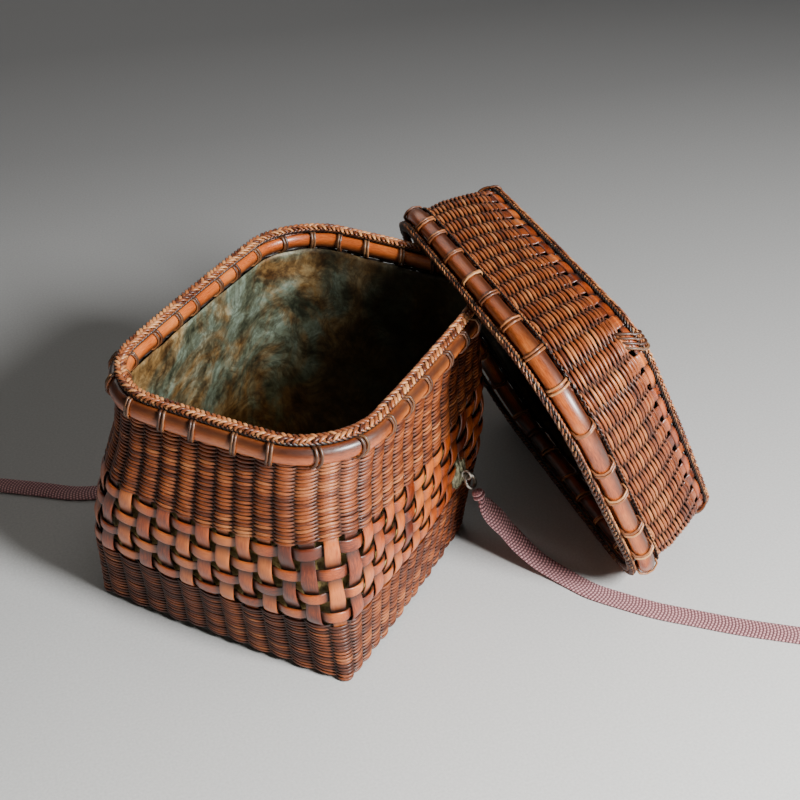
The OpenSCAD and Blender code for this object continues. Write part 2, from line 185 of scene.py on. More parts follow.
def strands_piece(name, centres, side, normal, section, closed, material, body, tone,
                  depth=1.0, scale=None):
    """Makes one piece from many strands, with the cane's along, across and tone in its attributes."""
    points, quads, caps, k = sweep(centres, side, normal, section, closed, scale)
    strands, steps = centres.shape[:2]
    tone = np.broadcast_to(np.asarray(tone, float).reshape(strands, -1), (strands, steps))
    depth = np.broadcast_to(np.asarray(depth, float), (strands, steps))
    along = travelled(centres) + 37.0 * np.arange(strands)[:, None]
    round_it = np.arange(k) / k
    cane = np.stack([
        np.repeat(along[:, :, None], k, 2),
        np.broadcast_to(round_it, (strands, steps, k)),
        np.repeat(tone[:, :, None], k, 2),
    ], -1)
    # The strand's outward face keeps its depth and its inner side gets about a third, so the materials paint
    # soiling and painted shade on the side facing the wall as well as in the gaps.
    lift = 0.5 + 0.5 * np.sin(2 * np.pi * (round_it + 0.5 / k))
    depth_shade = np.repeat(depth[:, :, None], k, 2) * (0.35 + 0.65 * lift)
    return make_mesh(name, points, quads, material, body, cane, depth_shade, caps)


def tangents(centres, closed=False):
    if closed:
        return unit(np.roll(centres, -1, 1) - np.roll(centres, 1, 1))
    return unit(np.gradient(centres, axis=1))


def spline(route, step):
    """Points every step along a smooth curve through the route (Catmull-Rom)."""
    p = np.asarray(route, float)
    p = np.vstack([2 * p[0] - p[1], p, 2 * p[-1] - p[-2]])
    out = []
    for a, b, c, d in zip(p[:-3], p[1:-2], p[2:-1], p[3:]):
        t = np.linspace(0, 1, 24, endpoint=False)[:, None]
        out.append(0.5 * (2 * b + (c - a) * t + (2 * a - 5 * b + 4 * c - d) * t**2
                          + (3 * b - a - 3 * c + d) * t**3))
    line = np.vstack(out + [p[-2][None]])
    s = np.concatenate([[0], np.cumsum(np.linalg.norm(np.diff(line, axis=0), axis=1))])
    even = np.linspace(0, s[-1], int(s[-1] / step) + 1)
    return np.stack([np.interp(even, s, line[:, i]) for i in range(3)], 1)


# ---------------------------------------------------------------- the woven walls
class Wall:
    """The outer face of a woven wall: a rounded rectangle that changes with height.

    u goes once round it, from the corner at +X, -Y toward +Y, and each side has as much of it as it
    has stakes."""

    def __init__(self, rows, middle, rise, place):
        self.rows = np.array(rows, float)
        self.middle = middle
        self.rise = rise
        self.place = place

    def flat(self, u, z):
        w, d, r = (np.interp(z, self.rows[:, 0], self.rows[:, i]) for i in (1, 2, 3))
        share = STAKES_Y / STAKES
        u = np.mod(u, 1.0)
        half = u >= 0.5
        v = np.where(half, u - 0.5, u)
        on_y = v < share
        s = np.where(on_y, v / share, (v - share) / (0.5 - share)) * 2 - 1
        across, run = np.where(on_y, w, d) / 2, np.where(on_y, d, w) / 2
        straight = run - r
        t = s * (straight + r * np.pi / 4)
        bend = np.maximum(abs(t) - straight, 0) / r
        a = across - r + r * np.cos(bend)
        b = np.sign(t) * (np.minimum(abs(t), straight) + r * np.sin(bend))
        x, y = np.where(on_y, a, -b), np.where(on_y, b, a)
        x, y = np.where(half, -x, x), np.where(half, -y, y)
        x, y = (x + BOW * x / (w / 2) * (1 - (y / (d / 2)) ** 2),
                y + BOW * y / (d / 2) * (1 - (x / (w / 2)) ** 2))
        mx, my = self.middle(z)
        return np.stack([x + mx, y + my, np.broadcast_to(z, x.shape)], -1)

    def corner(self, u):
        """0 in the middle of a side and 1 at a corner."""
        share = STAKES_Y / STAKES
        v = np.mod(u, 0.5)
        s = np.where(v < share, v / share, (v - share) / (0.5 - share)) * 2 - 1
        return 0.5 * s**2 + 0.25 * (1 - np.cos(np.pi * s))

    def level(self, u, z):
        """Height of the weaving row that has height z in the middle of a side."""
        return z + np.interp(z, *self.rise) * self.corner(u)

    def at(self, u, z, out=0.0):
        """Point, direction along, direction up and normal at u and z, out from the outer face."""
        u, z = np.broadcast_arrays(np.asarray(u, float), np.asarray(z, float))
        p = self.flat(u, z)
        along = unit(self.flat(u + 0.0015, z) - self.flat(u - 0.0015, z))
        up = unit(self.flat(u, z + 0.6) - self.flat(u, z - 0.6))
        normal = unit(np.cross(along, up))
        p = p + normal * np.asarray(out, float)[..., None]
        turn = self.place[:3, :3]
        return p @ turn.T + self.place[:3, 3], along @ turn.T, up @ turn.T, normal @ turn.T


def body_middle(z):
    t = np.asarray(z, float) / RIM_H
    return BASE_MID[0] + (RIM_MID[0] - BASE_MID[0]) * t, BASE_MID[1] + (RIM_MID[1] - BASE_MID[1]) * t


def lid_middle(z):
    return np.zeros_like(z, dtype=float), np.zeros_like(z, dtype=float)


def lid_place():
    """Where the leaning lid's own frame stands: its hoop's lashings touch the floor."""
    half = LID_ROWS[0][1] / 2 + HOOP_T + 1 + BOW
    height = half * math.sin(LID_TILT) - (LID_HOOP_Z + HOOP_H * 0.3) * math.cos(LID_TILT) + 0.02
    turn = Matrix.Rotation(LID_TURN, 4, "Z") @ Matrix.Rotation(LID_TILT, 4, "Y")
    return np.array(Matrix.Translation((69, 71.5, height)) @ turn)


body_wall = Wall(WALL_ROWS, body_middle,
                 ([0, 8, 30, 70, 95, 109], [-3, -1, 4, 6, 2, 0]), np.eye(4))
lid_wall = Wall(LID_ROWS, lid_middle, ([0, 11, 34, 44], [0, 0, 1.5, 0]), lid_place())


def wander(rows, steps, knots, low, high):
    """A smooth random value along each closed row."""
    values = rng.uniform(low, high, (rows, knots))
    values = np.concatenate([values, values[:, :1]], 1)
    x = np.linspace(0, knots, steps, endpoint=False)
    return np.stack([np.interp(x, np.arange(knots + 1), v) for v in values])


def fine_weave(name, wall, low, high, shade_darkening, body, *nodes):
    """Rows of fine split cane, over one stake and under the next. The darkening value after high lowers the
    cane's tone as painted shade.
    """
    per = 6
    rows = int((high - low) / ROW_PITCH)
    u = np.arange(STAKES * per) / (STAKES * per)
    z = low + (np.arange(rows) + 0.5)[:, None] * (high - low) / rows
    wave = np.cos(np.pi * STAKES * u[None] + np.pi * np.arange(rows)[:, None])
    bulge = np.sign(wave) * abs(wave) ** 0.75
    level = wall.level(u[None], z) + wander(rows, len(u), 60, -0.12, 0.12)
    level = level + wander(1, len(u), 34, -0.55, 0.55)
    out = -1.15 + 1.05 * bulge + wander(rows, len(u), 40, -0.12, 0.12)
    centres, _, up, normal = wall.at(np.broadcast_to(u, level.shape), level, out)
    plump = 0.62 + 0.38 * abs(wave)
    scale = np.stack([plump, np.ones_like(plump)], -1)
    tone = wander(rows, len(u), 14, 0.0, 1.0) * 0.6 + rng.uniform(0, 0.4, (rows, 1)) - shade_darkening
    piece = strands_piece(name, centres, up, normal, ellipse(0.78, 0.5, 6), True,
                          materials["weave"], body, tone, 0.5 + 0.5 * bulge, scale)
    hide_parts(*nodes)
    return piece


def flat_rows(name, wall, heights, width, swing, middle, body, *nodes):
    """Wide flat strips going round, over one stake and under the next."""
    per = 8
    u = np.arange(STAKES * per) / (STAKES * per)
    rows = len(heights)
    wave = np.cos(np.pi * STAKES * u[None] + np.pi * np.arange(rows)[:, None])
    level = wall.level(u[None], np.array(heights, float)[:, None])
    level = level + wander(rows, len(u), 28, -0.35, 0.35)
    out = middle + swing * np.sign(wave) * abs(wave) ** 0.6
    centres, _, up, normal = wall.at(np.broadcast_to(u, level.shape), level, out)
    scale = np.stack([1 + wander(rows, len(u), 56, -0.1, 0.1), np.ones_like(level)], -1)
    tone = wander(rows, len(u), 56, 0.0, 1.0)
    piece = strands_piece(name, centres, up, normal, ellipse(width / 2, 0.62, 14, 0.75), True,
                          materials["strip"], body, tone, 0.55 + 0.45 * wave, scale)
    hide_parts(*nodes)
    return piece


def flat_stakes(name, wall, low, high, first, pitch, width, swing, middle, body, *nodes):
    """Upright flat stakes, over the rows that the strips go under."""
    z = np.linspace(low, high, 44)
    i = np.arange(STAKES)[:, None]
    u = i / STAKES + rng.uniform(-0.0007, 0.0007, (STAKES, 1)) + 0 * z
    row = (z[None] - first) / pitch
    inside = np.clip(np.minimum(row + 0.75, (high - 3.5 - z) / pitch + 0.4) * 2, 0, 1)
    wave = -np.cos(np.pi * (i + row))
    level = wall.level(u, np.broadcast_to(z, u.shape))
    out = middle + swing * (wave * inside - (1 - inside))
    centres, along, _, normal = wall.at(u, level, out)
    scale = np.stack([1 + 0.1 * np.sin(row * np.pi + i * 2.1) * rng.uniform(0, 1, (STAKES, 1)),
                      np.ones_like(level)], -1)
    piece = strands_piece(name, centres, -along, normal, ellipse(width / 2, 0.6, 14, 0.75), False,
                          materials["strip"], body, rng.uniform(0, 1, (STAKES, 1)),
                          0.6 + 0.4 * wave * inside, scale)
    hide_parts(*nodes)
    return piece


def hoop(name, wall, section, body, *nodes):
    """A split-bamboo hoop with a little unevenness and three joints of the cane."""
    steps = 360
    u = np.arange(steps)[None] / steps
    offset = np.mean([s[0] for s in section])
    height = np.mean([s[1] for s in section])
    centres, _, up, normal = wall.at(u, np.full_like(u, height), np.full_like(u, offset))
    shape = np.array([(s[1] - height, s[0] - offset) for s in section])
    swell = 1 + wander(1, steps, 24, -0.05, 0.05)
    for joint in (0.13, 0.46, 0.79):
        swell = swell + 0.07 * np.exp(-((u - joint) * steps / 2.2) ** 2)
    scale = np.stack([swell, swell], -1)
    tone = wander(1, steps, 12, 0.2, 0.9)
    piece = strands_piece(name, centres, up, normal, shape, True, materials["hoop"],
                          body, tone, 1.0, scale)
    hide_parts(*nodes)
    return piece


def round_section(out_low, out_high, low, high, sides=18):
    """A half-round section: flat at out_low and rounded toward out_high."""
    t = np.linspace(-np.pi / 2, np.pi / 2, sides)
    mid, half = (low + high) / 2, (high - low) / 2
    reach = out_high - out_low
    return [(out_low + reach * abs(np.cos(a)) ** 0.8, mid + half * np.sin(a)) for a in t]


def way_round(wall, height):
    """The length once round a wall at a height."""
    return travelled(wall.at(np.linspace(0, 1, 400)[None], np.full((1, 400), height))[0])[0, -1]


def braid(name, wall, offset, height, half_w, half_h, strands, length, thick, body, *nodes):
    """A plait of strands that runs round the rim, 2 half_w wide and 2 half_h high."""
    turns = int(way_round(wall, height) / length)
    steps = turns * 14
    u = np.arange(steps)[None] / steps
    phase = 2 * np.pi * (turns * u + np.arange(strands)[:, None] / strands)
    out = offset + half_w * np.sin(phase)
    z = height + half_h * np.sin(2 * phase)
    centres, _, up, normal = wall.at(np.broadcast_to(u, out.shape), z, out)
    run = tangents(centres, True)
    side = unit(np.cross(run, unit(up + 0.35 * normal)))
    lift = unit(np.cross(side, run))
    tone = wander(strands, steps, 40, 0.0, 1.0)
    piece = strands_piece(name, centres, side, lift, ellipse(thick * 1.25, thick * 0.8, 7), True,
                          materials["braid"], body, tone, 0.55 + 0.45 * np.sin(2 * phase))
    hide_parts(*nodes)
    return piece


def stitches(name, wall, offset, height, half_w, half_h, pitch, thick, body, *nodes):
    """A plait's face: two rows of short slanted strands that meet along the middle in a herringbone."""
    count = int(way_round(wall, height) / pitch)
    t = np.linspace(0, 1, 9)
    first = (np.arange(count)[:, None] + rng.uniform(-0.08, 0.08, (count, 1))) / count
    u = np.concatenate([first + 1.5 * t / count, first + (0.5 + 1.5 * t) / count])
    reach = half_w * (1.05 - 1.25 * t)[None] * rng.uniform(0.92, 1.05, (2 * count, 1))
    reach[count:] *= -1
    arch = half_h * np.sin(np.pi * (0.12 + 0.76 * t))[None]
    z = height + arch + rng.uniform(-0.08, 0.08, (2 * count, 1))
    centres, _, up, _ = wall.at(u, np.broadcast_to(z, u.shape), offset + reach)
    run = tangents(centres)
    side = unit(np.cross(run, up))
    lift = unit(np.cross(side, run))
    taper = np.broadcast_to((0.35 + 0.65 * np.sin(np.pi * t) ** 0.5)[None, :, None], (*u.shape, 2))
    piece = strands_piece(name, centres, side, lift, ellipse(thick * 1.3, thick * 0.8, 8), False,
                          materials["braid"], body, rng.uniform(0, 1, (2 * count, 1)), 1.0,
                          taper)
    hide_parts(*nodes)
    return piece


def lashings(name, wall, path, count, gap, lean, thick, body, *nodes):
    """Pairs of thin strands wound round the hoops, leaning a little along the rim."""
    path = np.array(path, float)
    closed = np.vstack([path, path[:1]])
    s = np.concatenate([[0], np.cumsum(np.linalg.norm(np.diff(closed, axis=0), axis=1))])
    steps = 44
    t = np.arange(steps) / steps
    out, z = (np.interp(t * s[-1], s, closed[:, i]) for i in (0, 1))
    place = (np.arange(count)[:, None] + 0.5) / count + rng.uniform(-0.004, 0.004, (count, 1))
    both = np.concatenate([place - gap, place + gap])
    slant = lean * np.sin(2 * np.pi * t)[None] * rng.uniform(0.6, 1.2, (len(both), 1))
    u = both + slant
    centres, along, _, _ = wall.at(u, np.broadcast_to(z, u.shape), np.broadcast_to(out, u.shape))
    run = tangents(centres, True)
    across = unit(np.cross(run, np.cross(along, run)) + 1e-6)
    side = unit(np.cross(run, across))
    piece = strands_piece(name, centres, across, side, ellipse(thick, thick * 0.8, 8), True,
                          materials["lashing"], body, rng.uniform(0, 1, (len(both), 1)), 1.0)
    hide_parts(*nodes)
    return piece


def lining(name, wall, low, high, offset, body, ragged, backing, *nodes):
    """A thin beaten sheet inside the wall, closed at one end, with an uneven free edge."""
    around, rows = 240, 46
    u = np.arange(around)[None] / around
    edge = wander(1, around, 60, -ragged, ragged)
    t = np.linspace(0, 1, rows)[:, None]
    z = low + (high - low + edge) * t
    dents = wander(rows, around, 18, -0.25, 0.25)
    inner = wall.at(np.broadcast_to(u, z.shape), z, offset - 0.35 + dents)[0]
    outer = wall.at(np.broadcast_to(u, z.shape), z, offset + 0 * dents)[0]
    first = inner[0]
    centre = first.mean(0)
    rings = [centre + (first - centre) * k for k in (0.05, 0.25, 0.45, 0.65, 0.85, 0.97)]
    skin = np.concatenate([np.array(rings), inner, outer[::-1]])
    index = np.arange(skin.shape[0] * around).reshape(skin.shape[0], around)
    quads = grid_quads(index)[:, ::-1]
    # The first cane value runs from the closed end's middle up the inside and back down the outside; the lining
    # material paints shade by it.
    cane = np.zeros((skin.shape[0] * around, 3))
    cane[:, 0] = np.repeat(np.linspace(0, 1, skin.shape[0]), around)
    piece = make_mesh(name, skin, quads, materials["lining"], body, cane,
                      np.ones(len(cane)), [index[0]])
    if backing:
        piece.data.materials.append(materials["gold"])
        turn = (len(rings) + rows) * around
        chosen = np.zeros(len(piece.data.polygons), np.int32)
        chosen[turn:len(quads)] = 1
        piece.data.polygons.foreach_set("material_index", chosen)
    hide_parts(*nodes)
    return piece


def mat(name, wall, height, offset, dome, pitch, width, swing, body, flip, *nodes):
    """A plain-woven mat of flat strips inside the wall's outline, slightly domed."""
    row = wall.rows
    w, d, r = (np.interp(height, row[:, 0], row[:, i]) + 2 * offset for i in (1, 2, 3))
    r = max(r - offset, 2)
    mx, my = (float(v) for v in wall.middle(np.array(float(height))))
    side = -1 if flip else 1

    def reach(p, half, other):
        """How far a strip goes at p, half across and other along the outline."""
        past = max(abs(p) - (half - r), 0)
        return other - r + math.sqrt(max(r * r - past * past, 0)) if past < r else 0

    for axis in (0, 1):
        half, other = (w / 2, d / 2) if axis else (d / 2, w / 2)
        count = int((2 * half - width) / pitch / 2)
        lines, waves = [], []
        for k in range(-count, count + 1):
            p = k * pitch
            end = reach(abs(p) + width / 2, half, other)
            t = np.linspace(-end, end, 110)
            wave = np.cos(np.pi * (t / pitch + k + axis))
            x, y = (np.full_like(t, p), t) if axis else (t, np.full_like(t, p))
            z = height + side * (dome * (1 - (x / (w / 2)) ** 2) * (1 - (y / (d / 2)) ** 2) + swing * wave)
            lines.append(np.stack([x + mx, y + my, z], 1))
            waves.append(wave)
        centres = np.array(lines) @ wall.place[:3, :3].T + wall.place[:3, 3]
        run = tangents(centres)
        normal = np.broadcast_to(wall.place[:3, 2] * side, centres.shape)
        across = unit(np.cross(normal, run))
        piece = strands_piece(f"{name}_{'long' if axis else 'cross'}", centres, -across, normal,
                              ellipse(width / 2, 0.45, 12, 0.75), False,
                              materials["strip"], body, rng.uniform(0, 1, (len(lines), 1)),
                              0.6 + 0.4 * np.array(waves))
        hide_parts(*nodes)


# ---------------------------------------------------------------- materials
def new_material(name):
    material = bpy.data.materials.new(name)
    material.use_nodes = True
    tree = material.node_tree
    tree.nodes.clear()
    out = tree.nodes.new("ShaderNodeOutputMaterial")
    shader = tree.nodes.new("ShaderNodeBsdfPrincipled")
    tree.links.new(shader.outputs[0], out.inputs[0])
    return material, tree, shader


def attribute(tree, name):
    node = tree.nodes.new("ShaderNodeAttribute")
    node.attribute_name = name
    return node


def math_node(tree, operation, a, b=None, c=None):
    node = tree.nodes.new("ShaderNodeMath")
    node.operation = operation
    for i, v in enumerate((a, b, c)):
        if v is None:
            continue
        if isinstance(v, (int, float)):
            node.inputs[i].default_value = v
        else:
            tree.links.new(v, node.inputs[i])
    return node.outputs[0]


def combine(tree, x, y, z):
    node = tree.nodes.new("ShaderNodeCombineXYZ")
    for i, v in enumerate((x, y, z)):
        if isinstance(v, (int, float)):
            node.inputs[i].default_value = v
        else:
            tree.links.new(v, node.inputs[i])
    return node.outputs[0]


def noise(tree, vector, scale, detail=4, rough=0.55, distort=0.0):
    node = tree.nodes.new("ShaderNodeTexNoise")
    node.inputs["Scale"].default_value = scale
    node.inputs["Detail"].default_value = detail
    node.inputs["Roughness"].default_value = rough
    node.inputs["Distortion"].default_value = distort
    tree.links.new(vector, node.inputs["Vector"])
    return node.outputs["Fac"]


def ramp(tree, value, *stops):
    node = tree.nodes.new("ShaderNodeValToRGB")
    elements = node.color_ramp.elements
    while len(elements) < len(stops):
        elements.new(0.5)
    for e, (place, colour) in zip(elements, stops):
        e.position = place
        e.color = (*colour, 1)
    tree.links.new(value, node.inputs[0])
    return node.outputs[0]


def mix(tree, factor, a, b, how="MIX"):
    node = tree.nodes.new("ShaderNodeMix")
    node.data_type = "RGBA"
    node.blend_type = how
    for i, v in ((0, factor), (6, a), (7, b)):
        if isinstance(v, (int, float)):
            node.inputs[i].default_value = v
        elif isinstance(v, tuple):
            node.inputs[i].default_value = (*v, 1)
        else:
            tree.links.new(v, node.inputs[i])
    return node.outputs[2]


def bump(tree, shader, height, distance, strength=0.6):
    node = tree.nodes.new("ShaderNodeBump")
    node.inputs["Distance"].default_value = distance
    node.inputs["Strength"].default_value = strength
    tree.links.new(height, node.inputs["Height"])
    tree.links.new(node.outputs[0], shader.inputs["Normal"])


def object_coordinates(tree):
    return tree.nodes.new("ShaderNodeTexCoord").outputs["Object"]


def cane_material(name, dark, middle, light, gap_grime_and_shade, roughness, coat, fibre, streak=0.55):
    """Aged cane: fibres along the strand, a tone of its own for each strand, and soiling with painted shade in
    the gaps.
    """
    material, tree, shader = new_material(name)
    parts = tree.nodes.new("ShaderNodeSeparateXYZ")
    tree.links.new(attribute(tree, "cane").outputs["Vector"], parts.inputs[0])
    along, across, tone = parts.outputs
    depth = attribute(tree, "depth").outputs["Fac"]
    fine = noise(tree, combine(tree, math_node(tree, "MULTIPLY", along, 0.09),
                               math_node(tree, "MULTIPLY", across, fibre),
                               math_node(tree, "MULTIPLY", tone, 9.0)), 3.0, 5, 0.6)
    broad = noise(tree, object_coordinates(tree), 46.0, 3, 0.5)
    value = math_node(tree, "MULTIPLY_ADD", tone, 1 - streak, math_node(tree, "MULTIPLY", fine, streak))
    value = math_node(tree, "MULTIPLY_ADD", math_node(tree, "SUBTRACT", broad, 0.5), 0.5, value)
    colour = ramp(tree, value, (0.3, dark), (0.5, middle), (0.72, light))
    # Soiling and painted shade: where depth is low, in the gaps and on the strands' inner sides, the colour goes
    # to a near-black colour.
    out_of_gap = ramp(tree, depth, (0.3, (0, 0, 0)), (0.85, (1, 1, 1)))
    colour = mix(tree, out_of_gap, gap_grime_and_shade, colour)
    tree.links.new(colour, shader.inputs["Base Color"])
    rough = math_node(tree, "MULTIPLY_ADD", fine, 0.3, roughness - 0.1)
    rough = math_node(tree, "MULTIPLY_ADD", math_node(tree, "SUBTRACT", 1.0, depth), 0.2, rough)
    tree.links.new(rough, shader.inputs["Roughness"])
    shader.inputs["Coat Weight"].default_value = coat
    shader.inputs["Coat Roughness"].default_value = 0.25
    bump(tree, shader, fine, 0.00012, 0.7)
    return material


def lining_material():
    """Thin metal with verdigris, rust-brown blotches and dark veins, with painted shade darkening it toward +X
    and on the lower inside of the wall.
    """
    material, tree, shader = new_material("lining")
    place = object_coordinates(tree)
    wide = noise(tree, place, 26.0, 6, 0.62, 0.7)
    small = noise(tree, place, 95.0, 5, 0.65, 0.3)
    speck = noise(tree, place, 420.0, 3, 0.6)
    vein = noise(tree, place, 60.0, 6, 0.7, 1.6)
    green = ramp(tree, small, (0.34, (0.05, 0.06, 0.035)), (0.47, (0.17, 0.19, 0.12)),
                 (0.58, (0.26, 0.33, 0.25)), (0.7, (0.42, 0.52, 0.42)))
    brown = ramp(tree, small, (0.34, (0.1, 0.045, 0.012)), (0.5, (0.34, 0.19, 0.06)),
                 (0.68, (0.58, 0.42, 0.2)))
    colour = mix(tree, ramp(tree, wide, (0.44, (0, 0, 0)), (0.56, (1, 1, 1))), green, brown)
    colour = mix(tree, math_node(tree, "MULTIPLY", speck, 0.6), colour, (0.09, 0.07, 0.045), "MULTIPLY")
    veins = ramp(tree, vein, (0.42, (1, 1, 1)), (0.5, (0.3, 0.26, 0.2)), (0.58, (1, 1, 1)))
    colour = mix(tree, 0.7, colour, veins, "MULTIPLY")
    parts = tree.nodes.new("ShaderNodeSeparateXYZ")
    tree.links.new(attribute(tree, "cane").outputs["Vector"], parts.inputs[0])
    # Painted shade down the inside: darkest low on the inner wall, lighter toward the free edge, with a warmer
    # tint on the closed end.
    depth_shade = ramp(tree, parts.outputs[0], (0.1, (0.9, 0.75, 0.5)), (0.25, (0.5, 0.48, 0.42)),
                (0.45, (0.9, 0.9, 0.9)), (0.52, (1.0, 1.0, 1.0)))
    colour = mix(tree, 1.0, colour, depth_shade, "MULTIPLY")
    side = tree.nodes.new("ShaderNodeSeparateXYZ")
    tree.links.new(place, side.inputs[0])
    # Painted shade toward +X: the colour darkens to about a fifth across the object's x.
    painted_shade_toward_x = ramp(tree, math_node(tree, "MULTIPLY_ADD", side.outputs[0], 10.0, 0.5), (0.02, (1, 1, 1)),
                 (0.25, (0.4, 0.4, 0.38)), (0.6, (0.2, 0.19, 0.17)))
    colour = mix(tree, 1.0, colour, painted_shade_toward_x, "MULTIPLY")
    tree.links.new(colour, shader.inputs["Base Color"])
    shader.inputs["Metallic"].default_value = 0.25
    tree.links.new(math_node(tree, "MULTIPLY_ADD", small, 0.35, 0.36), shader.inputs["Roughness"])
    relief = math_node(tree, "ADD", small, math_node(tree, "MULTIPLY", speck, 0.3))
    bump(tree, shader, relief, 0.0005, 0.5)
    return material


def gold_material():
    """The lining's outside, a dull yellow ground seen through the gaps of the plait."""
    material, tree, shader = new_material("gold_ground")
    fine = noise(tree, object_coordinates(tree), 700.0, 4)
    colour = ramp(tree, fine, (0.35, (0.3, 0.18, 0.05)), (0.65, (0.62, 0.45, 0.17)))
    tree.links.new(colour, shader.inputs["Base Color"])
    shader.inputs["Roughness"].default_value = 0.55
    bump(tree, shader, fine, 0.0002, 0.5)
    return material


def metal_material(name, dark, light, roughness, metallic, scale):
    material, tree, shader = new_material(name)
    fine = noise(tree, object_coordinates(tree), scale, 6, 0.6)
    colour = ramp(tree, fine, (0.35, dark), (0.68, light))
    tree.links.new(colour, shader.inputs["Base Color"])
    shader.inputs["Metallic"].default_value = metallic
    tree.links.new(math_node(tree, "MULTIPLY_ADD", fine, 0.3, roughness - 0.12), shader.inputs["Roughness"])
    bump(tree, shader, fine, 0.00015, 0.4)
    return material


def ribbon_material():
    """Flat silk braid: mauve crests and dark maroon between the ribs, reaching near black in the deepest gaps as
    painted shade. depth is the relief's height.
    """
    material, tree, shader = new_material("ribbon")
    depth = attribute(tree, "depth").outputs["Fac"]
    worn = noise(tree, object_coordinates(tree), 60.0, 4)
    fuzz = noise(tree, object_coordinates(tree), 2600.0, 2)
    # Painted shade: the colour falls to near black where the relief is lowest.
    colour = ramp(tree, depth, (0.1, (0.04, 0.007, 0.012)), (0.35, (0.24, 0.085, 0.095)),
                  (0.75, (0.74, 0.4, 0.4)))
    colour = mix(tree, math_node(tree, "MULTIPLY", worn, 0.3), colour, (0.44, 0.25, 0.25))
    tree.links.new(colour, shader.inputs["Base Color"])
    shader.inputs["Roughness"].default_value = 0.75
    shader.inputs["Sheen Weight"].default_value = 0.35
    shader.inputs["Sheen Roughness"].default_value = 0.4
    bump(tree, shader, fuzz, 0.00008, 0.6)
    return material


# The fourth colour of each cane material is the near-black soiling and painted shade of the gaps.
materials = {
    "weave": cane_material("fine_weave", (0.08, 0.016, 0.004), (0.28, 0.064, 0.013), (0.52, 0.19, 0.062),
                           (0.01, 0.004, 0.002), 0.4, 0.15, 5.0),
    "strip": cane_material("flat_strip", (0.11, 0.015, 0.003), (0.4, 0.068, 0.008), (0.6, 0.155, 0.026),
                           (0.02, 0.006, 0.003), 0.28, 0.4, 16.0, 0.6),
    "hoop": cane_material("hoop_cane", (0.17, 0.026, 0.005), (0.48, 0.098, 0.015), (0.68, 0.21, 0.05),
                          (0.02, 0.006, 0.003), 0.26, 0.6, 18.0, 0.75),
    "braid": cane_material("braid_cane", (0.08, 0.018, 0.006), (0.34, 0.095, 0.026), (0.6, 0.27, 0.1),
                           (0.005, 0.002, 0.001), 0.36, 0.3, 6.0),
    "lashing": cane_material("lashing_cane", (0.14, 0.04, 0.012), (0.36, 0.12, 0.036), (0.58, 0.28, 0.11),
                             (0.02, 0.008, 0.004), 0.34, 0.35, 6.0),
    "lining": lining_material(),
    "gold": gold_material(),
    "bronze": metal_material("dark_bronze", (0.05, 0.048, 0.022), (0.45, 0.42, 0.26), 0.36, 0.5, 420.0),
    "wire": metal_material("bright_wire", (0.3, 0.27, 0.22), (0.72, 0.69, 0.62), 0.3, 1.0, 500.0),
    "ribbon": ribbon_material(),
}


# ---------------------------------------------------------------- camera, light and floor
def make_camera():
    camera = bpy.data.objects.new("camera", bpy.data.cameras.new("camera"))
    bpy.context.scene.collection.objects.link(camera)
    camera.location = (0.2425, -0.3869, 0.4027)
    aim = Vector((0.0243, 0.0514, 0.0584))
    camera.rotation_euler = (aim - camera.location).to_track_quat("-Z", "Y").to_euler()
    camera.data.lens = 61.1
    camera.data.sensor_width = 36
    camera.data.clip_start = 0.01
    bpy.context.scene.camera = camera


def area_light(name, place, aim, size, power, colour=(1, 1, 1)):
    light = bpy.data.lights.new(name, "AREA")
    light.shape = "DISK"
    light.size = size
    light.energy = power
    light.color = colour
    thing = bpy.data.objects.new(name, light)
    thing.location = place
    thing.rotation_euler = (Vector(aim) - Vector(place)).to_track_quat("-Z", "Y").to_euler()
    bpy.context.scene.collection.objects.link(thing)


